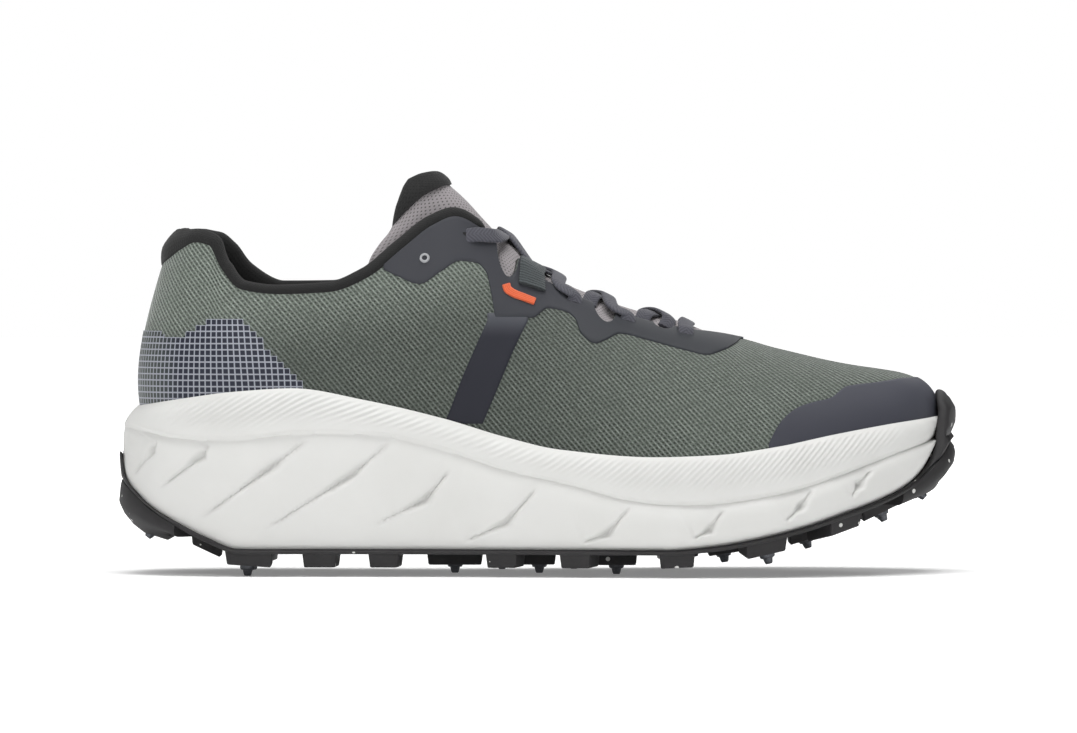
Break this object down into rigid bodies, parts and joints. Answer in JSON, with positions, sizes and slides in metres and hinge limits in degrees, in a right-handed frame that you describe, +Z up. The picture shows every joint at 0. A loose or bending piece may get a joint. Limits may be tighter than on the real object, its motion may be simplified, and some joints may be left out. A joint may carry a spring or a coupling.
{
  "type": "studded winter running shoe",
  "caption": "Low winter running shoe for the right foot: hollow mesh upper, thick foam midsole with slanted cuts, lugged rubber outsole and steel studs for ice.",
  "frame": {"origin": "on the floor plane of the stud tips, under the middle of the shoe's box", "axes": "+X to the toe, +Y to the inner (medial) side, +Z up"},
  "size_m": [0.2982, 0.1076, 0.1438],
  "materials": {
    "upper_mesh": "grey-green engineered mesh with fine holes",
    "midsole_foam": "white moulded EVA foam",
    "outsole_rubber": "charcoal rubber with white flecks",
    "stud_steel": "dark worn steel",
    "lining": "black padded textile",
    "tongue_knit": "grey knit",
    "eyestay_film": "dark grey bonded film",
    "strap_film": "navy bonded film",
    "toe_film": "slate bonded film",
    "grid_film": "white grid printed over navy",
    "lace_weave": "flat woven polyester",
    "webbing": "ribbed webbing",
    "orange_tab": "plain orange woven tab",
    "eyelet_grey": "grey moulded ring"
  },
  "bodies": {
    "root": {"collar": "lining", "eyelet_lateral": "eyelet_grey", "eyelet_medial": "eyelet_grey", "eyestay": "eyestay_film", "heel_counter": "grid_film", "insole": "lining", "lace_bar": "lace_weave", "lace_cross_1": "lace_weave", "lace_cross_2": "lace_weave", "lace_cross_3": "lace_weave", "lace_loop_lateral": "webbing", "lace_loop_medial": "webbing", "side_tag": "orange_tab", "strap_lateral": "strap_film", "strap_medial": "strap_film", "toe_cap": "toe_film", "midsole": "midsole_foam", "outsole": "outsole_rubber", "stud_01": "stud_steel", "stud_02": "stud_steel", "stud_03": "stud_steel", "stud_04": "stud_steel", "stud_05": "stud_steel", "stud_06": "stud_steel", "stud_07": "stud_steel", "stud_08": "stud_steel", "stud_09": "stud_steel", "stud_10": "stud_steel", "stud_11": "stud_steel", "stud_12": "stud_steel", "stud_13": "stud_steel", "stud_14": "stud_steel", "stud_15": "stud_steel", "stud_16": "stud_steel", "stud_17": "stud_steel", "tongue": "tongue_knit", "tongue_tip": "lining", "upper": "upper_mesh"}
  },
  "joints": []
}
